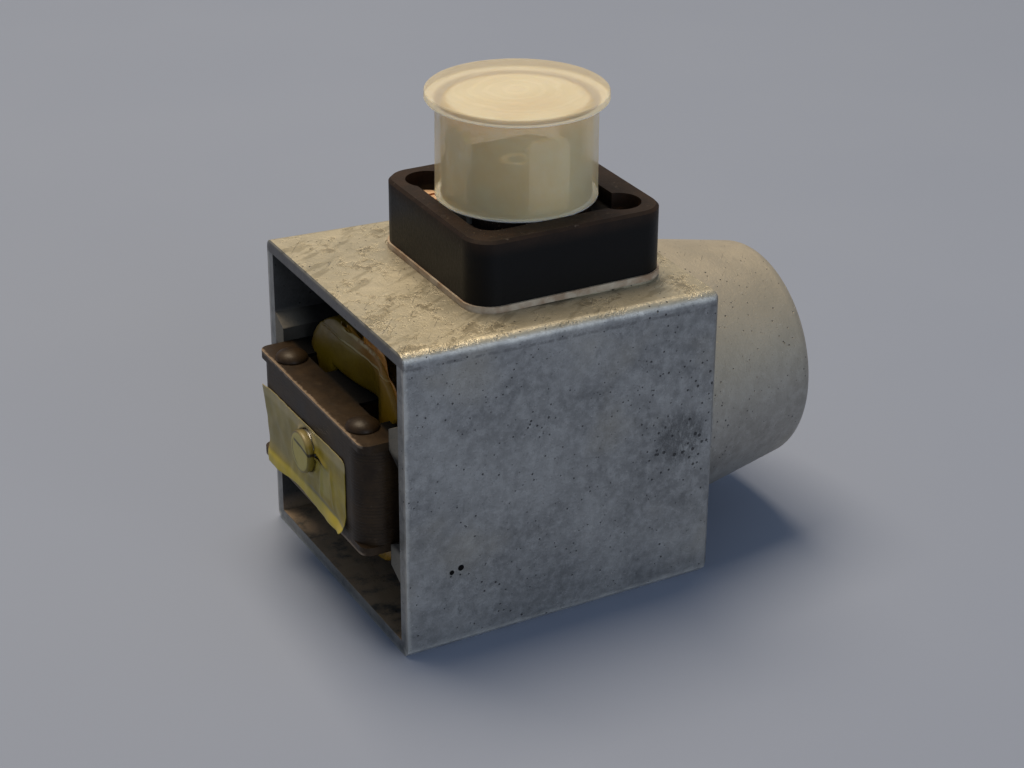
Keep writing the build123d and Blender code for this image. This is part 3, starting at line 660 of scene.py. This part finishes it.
# %% Natural plastic
def natural_plastic():
    """Milky polyethylene, yellowed in its body and greyer in its flange, with painted highlights on its
    edges and rings.
    """
    f = Finish("natural_polyethylene")
    cloud = f.noise(6.0, 4, 0.6)
    fine = f.noise(0.8, 3, 0.6, shift=3.0)
    low, high = span("dust_cap")
    centre = (low + high) / 2
    in_flange = f.z.rise(high.z - 1.5, high.z - 1.1)
    yellowed = f.mix(cloud.rise(0.35, 0.7), (1.0, 0.70, 0.40), (1.0, 0.76, 0.48))
    colour = f.mix(in_flange, yellowed, (0.52, 0.455, 0.32))
    across, along = f.x - centre.x, f.y - centre.y
    radius = (across * across + along * along).root()
    wander = f.noise(5.0, 3, 0.5, stretch=(0.6, 1.4, 1.0), shift=9.0) * 9.0
    rings = (radius * 2.6 + wander).sine()
    # The rings on the top are painted lighter as the highlights that they catch.
    painted_ring_highlight = rings.rise(0.2, 0.95) * in_flange * (1.0 - radius.rise(8.5, 10.5))
    colour = f.mix(painted_ring_highlight * 0.14, colour, (0.74, 0.65, 0.49))
    # The flange's edge and the foot get a painted highlight and let less through.
    flange_edge = f.z.rise(high.z - 1.42, high.z - 1.26)
    flange_edge = flange_edge * (1.0 - f.z.rise(high.z - 1.2, high.z - 1.0))
    foot_edge = 1.0 - f.z.rise(low.z + 0.12, low.z + 0.35)
    painted_edge_highlight = flange_edge.highest(foot_edge)
    colour = f.mix(painted_edge_highlight, colour, (1.0, 0.95, 0.82))
    return f.finish(
        Base_Color=colour,
        Roughness=0.45 + (fine - 0.5) * 0.12,
        Alpha=0.40 + painted_edge_highlight * 0.5 + in_flange * 0.12,
        IOR=1.30,
        Subsurface_Weight=1.0,
        Subsurface_Radius=(0.0018, 0.0017, 0.0015),
        Subsurface_Scale=1.0,
        Normal=f.bump(fine * 0.3 + cloud, 0.05),
    )


make_cap(natural_plastic())

# %% [markdown]
# ## The film on the core
# A strip of thin yellow film covers the front of the core so that paint and dirt stay off it. It has
# been pressed over the push pin, torn beside it, creased, and its lower edge and ends have come away.
# The round piece over the pin's tip has come free of it and keeps its pressed-back rim.
# A sheet like this starts as a flat grid. Each point is then moved by a short rule: the outline first,
# then the ring round the pin, the creases and the lifted edges. Faces along the tear are left out.

# %% Film
pin_radius = (pin_high.z - pin_low.z) / mm / 2
film_near = span("protective_film")[0].y
film_far = 15.6
film_top = 3.5
film_bottom = -8.0
film_hole = pin_radius + 0.12
film_thickness = 0.07
far_end_slant = 1.6
tear_start = (1.9, 1.3)
tear_end = (-5.7, -0.1)


def rounded_off(distance, radius):
    """How far a corner's arc cuts into an edge, at a distance from the side that it meets."""
    if distance >= radius:
        return 0
    return radius - math.sqrt(max(radius ** 2 - (radius - distance) ** 2, 0))


def film_height_limits(y):
    """The lower and upper edge of the film at a place across the core, with rounded near corners."""
    low = film_bottom + 0.25 * math.sin(y * 0.35)
    top = film_top + 0.012 * (film_far - y)
    return low + rounded_off(y - film_near, 1.7), top - rounded_off(y - film_near, 1.2)


def film_lift(y, z):
    """How far the film stands off the core at a place."""
    from_pin = math.hypot(y, z)
    lift = 0.35 * hump(max(from_pin - film_hole, 0), 0.6) * (1 - step(z, 2.2, 3.3))
    crease = z - (-6.1 + 0.05 * (y + 12))
    lift += 0.45 * step(-crease, 0.0, 2.2) * step(abs(y - 1), 3.0, 10.0)
    lift += 0.9 * step(-y, 9.5, 12.5) * step(-z, 4.5, 8.5)
    lift += 0.3 * step(y, 13.0, film_far) * step(z, -2.0, 3.5)
    lift += 0.20 * hump(y + 4.4 + 0.1 * z, 0.35) * step(-z, -0.5, 1.0) * step(z, -6.0, -4.5)
    lift += 0.16 * hump(y + 7.4 - 0.15 * z, 0.4) * step(-z, -1.0, 1.0) * step(z, -6.0, -4.5)
    beside_pin = step(-y, 1.5, 3.0) * (1 - step(-y, 5.5, 7.0))
    lift += 0.30 * hump(z - 0.7 - 0.18 * (y + 2.0), 0.5) * beside_pin
    lift += 0.10 * noise.noise(Vector((y * 0.5, z * 0.5, 1.0))) + 0.08
    return lift


def tear_distance(y, z):
    """The distance from the tear's line, and how far along it the nearest point lies."""
    start, end = Vector(tear_start), Vector(tear_end)
    along = end - start
    share = min(max((Vector((y, z)) - start).dot(along) / along.length_squared, 0), 1)
    bow = 0.35 * math.sin(share * math.pi)
    return (Vector((y, z)) - start - along * share - Vector((0, bow))).length, share


# %% The film's sheet
def make_film(material):
    """The film as a grid that is bent over the core and the pin, without the faces of its tear."""
    shape = bmesh.new()
    bmesh.ops.create_grid(shape, x_segments=150, y_segments=64, size=0.5)
    for vert in shape.verts:
        y = film_near + (vert.co.x + 0.5) * (film_far - film_near)
        low, top = film_height_limits(y)
        z = low + (vert.co.y + 0.5) * (top - low)
        y -= far_end_slant * (0.5 - vert.co.y) * step(y, 5.0, film_far)
        vert.co = Vector((0, y, z))
    gone = []
    for face in shape.faces:
        centre = face.calc_center_median()
        distance, share = tear_distance(centre.y, centre.z)
        open_width = 0.42 * math.sin(math.pi * min(share + 0.12, 1.0)) + 0.02
        if math.hypot(centre.y, centre.z) < film_hole or distance < open_width:
            gone.append(face)
    bmesh.ops.delete(shape, geom=gone, context="FACES")
    for vert in shape.verts:
        y, z = vert.co.y, vert.co.z
        radius = math.hypot(y, z)
        if radius < film_hole + 0.25:
            y, z = (value * film_hole / radius for value in (y, z))
        vert.co = place(core_low.x - 0.02 - film_lift(y, z), y, z)
    piece = add_piece("yoke_film", shape, material, "solenoid", "film", "protective_film")
    thicken(piece, film_thickness)


def make_film_spot(material):
    """The round piece of film on the tip of the pin, with its rim pressed back over the side."""
    tip = span("film_disc")[0].x - 0.05
    rim = pin_radius + 0.06
    section = [(0, 0), (0.8, 0), (1.6, 0), (2.3, 0), (rim - 0.25, 0)]
    section += [(rim - 0.06, 0.05), (rim, 0.2), (rim, 1.0)]
    shape = bmesh.new()
    line = [shape.verts.new((depth, radius, 0)) for radius, depth in section]
    spin(shape, line, (0, 0, 0), (1, 0, 0), 48)
    bmesh.ops.remove_doubles(shape, verts=shape.verts, dist=1e-6)
    for vert in shape.verts:
        depth, y, z = vert.co
        on_face = 1 - step(depth, 0.0, 0.2)
        crease = 0.04 * noise.noise(Vector((y, z, 4.0))) * on_face
        vert.co = place(tip + depth - crease, y, z)
    bmesh.ops.recalc_face_normals(shape, faces=shape.faces)
    piece = add_piece("pin_film_spot", shape, material, "armature", "film", "film_disc")
    thicken(piece, film_thickness)


# %% Yellow film
def yellow_film():
    """Thin yellow plastic: greyer at its far end, milky above, dark where it is cut or torn, with painted
    shade along its crease and round the pin's rim.
    """
    f = Finish("yellow_film")
    cloud = f.noise(4.0, 5, 0.6)
    milky = f.noise(2.0, 4, 0.65, shift=12.0)
    colour = f.mix(cloud.rise(0.35, 0.7), (0.27, 0.205, 0.022), (0.38, 0.295, 0.036))
    far_end = f.y.rise(2.5, 9.0) * f.z.rise(-6.4, -5.6)
    colour = f.mix(far_end * 0.6, colour, (0.27, 0.235, 0.125))
    upper_strip = f.z.rise(1.6, 2.4)
    colour = f.mix(upper_strip * 0.7, colour, (0.43, 0.36, 0.19))
    low_strip = 1.0 - f.z.rise(-6.6, -5.9)
    colour = f.mix(low_strip * 0.85, colour, (0.62, 0.48, 0.050))
    # A dark line is painted along the crease as its shade.
    off_crease = abs(f.z + 6.0 - (f.y + 6.0) * 0.05)
    crease = (1.0 - off_crease.rise(0.05, 0.40)) * (1.0 - f.y.rise(-1.0, 3.0))
    colour = f.mix(crease * 0.7, colour, (0.20, 0.185, 0.12))
    patch = (1.0 - abs(f.y + 5.3).rise(1.3, 1.9)) * (1.0 - abs(f.z + 2.6).rise(1.8, 2.6))
    colour = f.mix(patch * 0.5, colour, (0.50, 0.44, 0.15))

    radial = (f.y * f.y + f.z * f.z).root()
    on_tip = 1.0 - radial.rise(2.6, 2.9)
    colour = f.mix(on_tip * 0.8, colour, (0.50, 0.43, 0.12))
    # A dark ring and an inner arc round the pin's spot are painted as the shadow of its raised rim,
    # stronger towards the far side.
    ring = (1.0 - abs(radial - 3.0).rise(0.10, 0.32)) * (0.45 + f.y.rise(-0.5, 1.5) * 0.5)
    painted_crescent_shadow = (1.0 - abs(radial - 2.35).rise(0.05, 0.22)) * f.y.rise(0.3, 1.6)
    painted_crescent_shadow = painted_crescent_shadow * (1.0 - f.z.rise(0.0, 1.6))
    colour = f.mix(ring.highest(painted_crescent_shadow * 0.7), colour, (0.085, 0.065, 0.025))
    along = (f.y - tear_end[0]) / (tear_start[0] - tear_end[0])
    straight = f.z - tear_end[1] - along * (tear_start[1] - tear_end[1])
    off_line = abs(straight - (along - along * along) * 1.2)
    tear = (1.0 - off_line.rise(0.10, 0.32)) * along.rise(-0.02, 0.08)
    tear = tear * (1.0 - along.rise(0.94, 1.02))
    colour = f.mix(tear * 0.9, colour, (0.02, 0.014, 0.01))
    return f.finish(
        Base_Color=colour,
        Roughness=0.38 + (milky - 0.5) * 0.2,
        Alpha=0.9,
        Specular_IOR_Level=0.3,
        Coat_Weight=0.08,
        Coat_Roughness=0.3,
        Normal=f.bump(milky * 0.6 + cloud * 0.4, 0.08),
    )


film_material = yellow_film()
make_film(film_material)
make_film_spot(film_material)

# %% [markdown]
# ## The taped coil
# The coil is wound on a bobbin that fits between the side legs of the core, so it is narrow beside them
# and has full round heads above and below. Yellow tape is wound over it in overlapping turns. Its
# section is one closed loop, so a loop is spun about the axis, and each point is then moved out to the
# coil's outline at its own angle. That keeps the faces running along the tape.

# %% The coil's outline
coil_low, coil_high = span("coil_tape")
side_leg = 5.5
window_half = core_high.y - side_leg
head_half_width = 14.8
head_corner = 10.5
bore_half_width = 7.0


def outside_head(y, z):
    """How far a place lies outside the rounded outline of the coil's head."""
    y = abs(y) - (head_half_width - head_corner)
    z = abs(z) - (coil_high.z - head_corner)
    return math.hypot(max(y, 0), max(z, 0)) + min(max(y, z), 0) - head_corner


def coil_reach(angle):
    """How far the coil's outline is from its centre, at an angle from the y axis."""
    across, up = math.cos(angle), math.sin(angle)
    near, far = 0.0, 2 * coil_high.z
    for halving in range(24):
        middle = (near + far) / 2
        if outside_head(middle * across, middle * up) > 0:
            far = middle
        else:
            near = middle
    near -= 0.3 * hump(math.degrees(angle) - 52, 13) + 0.4 * hump(math.degrees(angle) - 80, 16)
    leg_limit = (window_half - 0.3) / max(abs(across), 1e-6)
    beside_leg = 1 - step(abs(up) * near, plate_top + 0.3, plate_top + 0.6)
    return near + (min(near, leg_limit) - near) * beside_leg


def coil_bore(angle):
    """How far the opening through the coil is from its centre, at an angle from the y axis."""
    across, up = abs(math.cos(angle)), abs(math.sin(angle))
    return min(bore_half_width / max(across, 1e-6), (plate_top + 1.4) / max(up, 1e-6))


def coil_forward(y, z):
    """How far the tape bulges from the coil's packed face towards the yoke."""
    up = abs(z)
    bulge = 0.9 + 0.4 * step(y, -2.0, 7.0) + 0.3 * step(-y, 7.5, 9.5)
    return bulge - 0.9 * hump((y + 4.3) / 1.6, 2.2) * (1 - step(up, 10.0, 16.0))


# %% The coil, spun
def make_coil(material):
    """A loop of share and depth, where a share of 0 is the bore and 1 the outline, spun and fitted."""
    front, back = coil_low.x, coil_high.x
    section = [(-0.19, front + 0.7), (-0.17, front + 0.1), (-0.12, front), (0.0, front)]
    section += [(i / 8, front) for i in range(1, 7)]
    section += [(0.86, front), (0.95, front + 0.06), (0.985, front + 0.25), (1.0, front + 0.7)]
    section += [(1.0, front + 2.0), (1.0, (front + back) / 2), (1.0, back - 2.0)]
    section += [(0.98, back - 0.4), (0.93, back - 0.12), (0.85, back), (0.5, back), (0.0, back)]
    section += [(0.0, front + 3.0), (0.0, front + 1.6)]
    shape = bmesh.new()
    loop = [shape.verts.new((x, share + 1, 0)) for share, x in section]
    spin(shape, loop, (0, 0, 0), (1, 0, 0), 240, closed=True)
    for vert in shape.verts:
        angle = math.atan2(vert.co.z, vert.co.y)
        share = math.hypot(vert.co.y, vert.co.z) - 1
        radius = coil_bore(angle) + (coil_reach(angle) - coil_bore(angle)) * share
        y, z = radius * math.cos(angle), radius * math.sin(angle)
        slack = noise.noise(Vector((y * 0.25, z * 0.25, vert.co.x * 0.3)))
        in_front = 1 - step(vert.co.x, front + 1.5, front + 6)
        lap = 0.20 * step(abs(z), 13.8, 14.1)
        x = vert.co.x + (0.12 * slack + lap - coil_forward(y, z)) * in_front
        vert.co = place(x, y, z)
    bmesh.ops.recalc_face_normals(shape, faces=shape.faces)
    return add_piece("taped_coil", shape, material, "solenoid", "tape", "coil_tape")


# %% Yellow tape
def yellow_tape():
    """Yellow tape gone olive with varnish, orange and amber on its near side, with pale edges."""
    f = Finish("varnished_yellow_tape")
    cloud = f.noise(5.0, 4, 0.6)
    fibre = f.noise(0.5, 3, 0.6, stretch=(1.0, 0.3, 0.6), shift=6.0)
    wander = (f.noise(4.0, 3, 0.5, shift=15.0) - 0.5) * 0.8
    olive = f.mix(cloud.rise(0.3, 0.7), (0.105, 0.060, 0.001), (0.165, 0.102, 0.002))
    # Lighter bands across the tape: its laps, painted lighter also as the highlights that they catch.
    band = (f.z * 0.5 + f.y * 0.32 + cloud).sine().rise(-0.4, 0.9)
    olive = f.mix(band * 0.3, olive, (0.20, 0.15, 0.012))
    orange = f.z.rise(13.4, 14.2) * (1.0 - f.y.rise(-5.0, 3.0))
    olive = f.mix(orange * 0.7, olive, (0.26, 0.105, 0.015))
    edge = 1.0 - abs(f.z - 14.0 - wander).rise(0.06, 0.24)
    top_edge = 1.0 - abs(f.z - 15.8 - wander).rise(0.10, 0.45)
    top_edge = top_edge * f.noise(1.5, 4, 0.7).rise(0.35, 0.5)
    pale = edge.highest(top_edge) * (1.0 - f.y.rise(2.0, 5.0))
    olive = f.mix(pale * 0.75, olive, (0.42, 0.35, 0.17))
    amber = 1.0 - f.y.rise(-11.0, -5.0)
    olive = f.mix(amber * 0.6, olive, (0.34, 0.17, 0.008))
    return f.finish(
        Base_Color=olive,
        Roughness=0.36 + (fibre - 0.5) * 0.25,
        Specular_IOR_Level=0.25,
        Coat_Weight=0.12,
        Coat_Roughness=0.22,
        Normal=f.bump(edge * 0.5 + fibre * 0.15 + cloud * 0.6 + band * 0.3, 0.18),
    )


tape_material = yellow_tape()
make_coil(tape_material)

# %% [markdown]
# ## The loose ends of the coil's insulation
# A sheet of thin orange-brown insulation comes out round the upper near corner of the coil and flares
# towards the walls of the box. On top, a torn tongue of tape stands up. Both are thin sheets: a grid
# whose long side follows the coil's outline, moved outwards row by row and crumpled with noise.

# %% Flared insulation and a torn tongue
insulation_thickness = 0.12


def make_flare(material, name, start_deg, end_deg, reach_out, reach_forward, ragged):
    """A ragged sheet along the coil's outline, between two angles from the y axis."""
    shape = bmesh.new()
    bmesh.ops.create_grid(shape, x_segments=70, y_segments=16, size=0.5)
    for vert in shape.verts:
        share = vert.co.x + 0.5
        out = vert.co.y + 0.5
        angle = math.radians(start_deg + (end_deg - start_deg) * share)
        tattered = 1 + ragged * noise.noise(Vector((share * 8, reach_out, 0.5)))
        full = step(share, 0.0, 0.15) * (1 - step(share, 0.88, 1.0)) * tattered
        crumple = noise.noise(Vector((share * 6, out * 2.0, 7.0)))
        radius = coil_reach(angle) - 0.4 + reach_out * out * full + 0.3 * crumple * out
        x = coil_low.x - 0.4 - reach_forward * out * full + 0.55 * crumple * out
        y = max(radius * math.cos(angle), -(half_width - wall - 0.4))
        z = min(radius * math.sin(angle), half_height - wall - 0.5)
        vert.co = place(x, y, z)
    thicken(add_piece(name, shape, material, "solenoid", "tape"), insulation_thickness)


def brown_insulation():
    """Thin orange-brown sheet with a varnished shine."""
    f = Finish("orange_brown_insulation")
    cloud = f.noise(2.0, 5, 0.65)
    colour = f.mix(cloud.rise(0.3, 0.7), (0.34, 0.115, 0.012), (0.62, 0.27, 0.035))
    return f.finish(
        Base_Color=colour,
        Roughness=0.35 + (cloud - 0.5) * 0.2,
        Alpha=0.9,
        Coat_Weight=0.3,
        Coat_Roughness=0.2,
        Normal=f.bump(cloud, 0.15),
    )


make_flare(brown_insulation(), "flared_insulation", 100, 152, 4.2, 1.4, 0.6)
make_flare(tape_material, "torn_tape_tongue", 84, 97, 1.9, 1.6, 0.9)

# %% [markdown]
# ## Floor, light and camera
# The solenoid stands on a plain pale floor. A soft warm lamp above and a little behind lights the top,
# a weaker cool one in front fills in the sides, and the surroundings add a little cool light all
# round. The camera stands where the photograph was taken: its place and lens were worked out from the
# corners of the box.

# %% Floor
floor_colour = (0.200, 0.236, 0.326)
floor_light_patch = (0.222, 0.258, 0.346)
floor_half_width = 6.0


def make_floor():
    """One large face at the height of the solenoid's foot, which belongs to the stage."""
    shape = bmesh.new()
    bmesh.ops.create_grid(shape, x_segments=1, y_segments=1, size=floor_half_width)
    mesh = bpy.data.meshes.new("floor")
    shape.to_mesh(mesh)
    shape.free()
    floor = bpy.data.objects.new("floor", mesh)
    bpy.context.scene.collection.objects.link(floor)
    f = Finish("floor_paint")
    cloud = f.noise(60.0, 3, 0.5)
    tone = f.mix(cloud.rise(0.3, 0.7) * 0.25, floor_colour, floor_light_patch)
    mesh.materials.append(f.finish(Base_Color=tone, Roughness=0.75))
    print("made a floor of", 2 * floor_half_width, "metres")


make_floor()

# %% Light
world = bpy.data.worlds.new("surroundings")
world.use_nodes = True
background = world.node_tree.nodes["Background"]
background.inputs["Color"].default_value = (0.74, 0.86, 1.0, 1.0)
background.inputs["Strength"].default_value = 0.26
bpy.context.scene.world = world


def add_lamp(name, where, target, size, power, colour):
    """A square area lamp that faces a target."""
    data = bpy.data.lights.new(name, "AREA")
    data.shape = "SQUARE"
    data.size = size
    data.energy = power
    data.color = colour
    lamp = bpy.data.objects.new(name, data)
    lamp.location = where
    lamp.rotation_euler = (Vector(target) - Vector(where)).to_track_quat("-Z", "Y").to_euler()
    bpy.context.scene.collection.objects.link(lamp)
    print("added lamp", name, "of", power, "watts")


middle_of_part = (0, 0, 0.03)
warm_white = (1.0, 0.83, 0.60)
cool_white = (0.78, 0.87, 1.0)
add_lamp("overhead", (-0.02, 0.30, 0.95), middle_of_part, 0.55, 12.0, warm_white)
add_lamp("front_fill", (0.10, -1.0, 0.30), middle_of_part, 0.7, 3.5, cool_white)

# %% Camera
camera_place = (-0.14677, -0.26411, 0.17489)
camera_azimuth = 28.37
camera_tilt = 26.41
camera_roll = 0.36
camera_lens = 81.15

camera_data = bpy.data.cameras.new("camera")
camera_data.lens = camera_lens
camera_data.sensor_width = 36.0
camera_data.clip_start = 0.01
camera = bpy.data.objects.new("camera", camera_data)
bpy.context.scene.collection.objects.link(camera)
camera.matrix_world = (
    Matrix.Translation(camera_place)
    @ Matrix.Rotation(-math.radians(camera_azimuth), 4, "Z")
    @ Matrix.Rotation(math.radians(90 - camera_tilt), 4, "X")
    @ Matrix.Rotation(math.radians(camera_roll), 4, "Z")
)
bpy.context.scene.camera = camera
bpy.context.scene.view_settings.view_transform = "Standard"
print("camera with a lens of", camera_lens, "mm")
